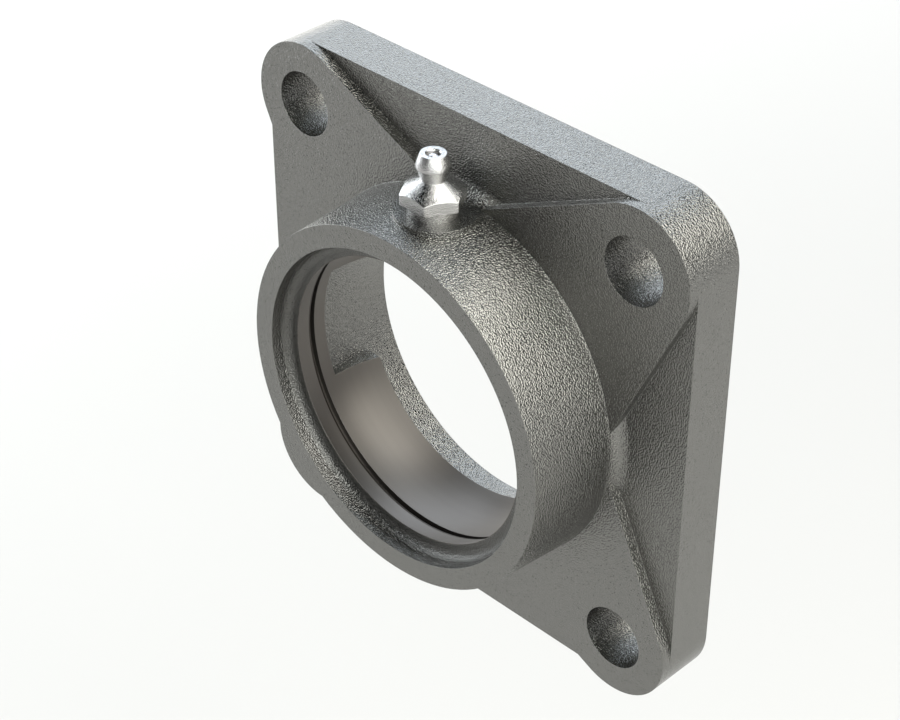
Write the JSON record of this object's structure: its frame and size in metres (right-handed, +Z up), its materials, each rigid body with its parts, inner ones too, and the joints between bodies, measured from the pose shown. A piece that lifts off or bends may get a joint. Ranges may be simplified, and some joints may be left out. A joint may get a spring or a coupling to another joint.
{
  "type": "four-bolt flange housing",
  "caption": "Square cast-iron flange housing with a spherical seat for an insert bearing and a grease nipple on its hub.",
  "frame": {"origin": "centre of the bore on the mounting face", "axes": "+Y out of the mounting face into what it is bolted to, -Y out of the hub's front, +Z up through the grease nipple, X to the side"},
  "size_m": [0.108, 0.0311, 0.108],
  "materials": {
    "cast_iron": "as cast, fine sand texture, with a machined spherical seat",
    "plated_steel": "bright zinc plate",
    "ball_steel": "polished",
    "spring_wire": "drawn wire"
  },
  "bodies": {
    "housing": {"flange_housing": "cast_iron", "grease_nipple": "plated_steel", "check_spring": "spring_wire"},
    "ball": {"check_ball": "ball_steel"}
  },
  "joints": [
    {"name": "ball_lift", "type": "slide", "parent": "housing", "child": "ball", "axis": [0, 0, -1], "range_m": [0, 0.001], "stiffness_N_per_m": 400, "springref_m": -0.0008, "deforming": ["check_spring"]}
  ]
}
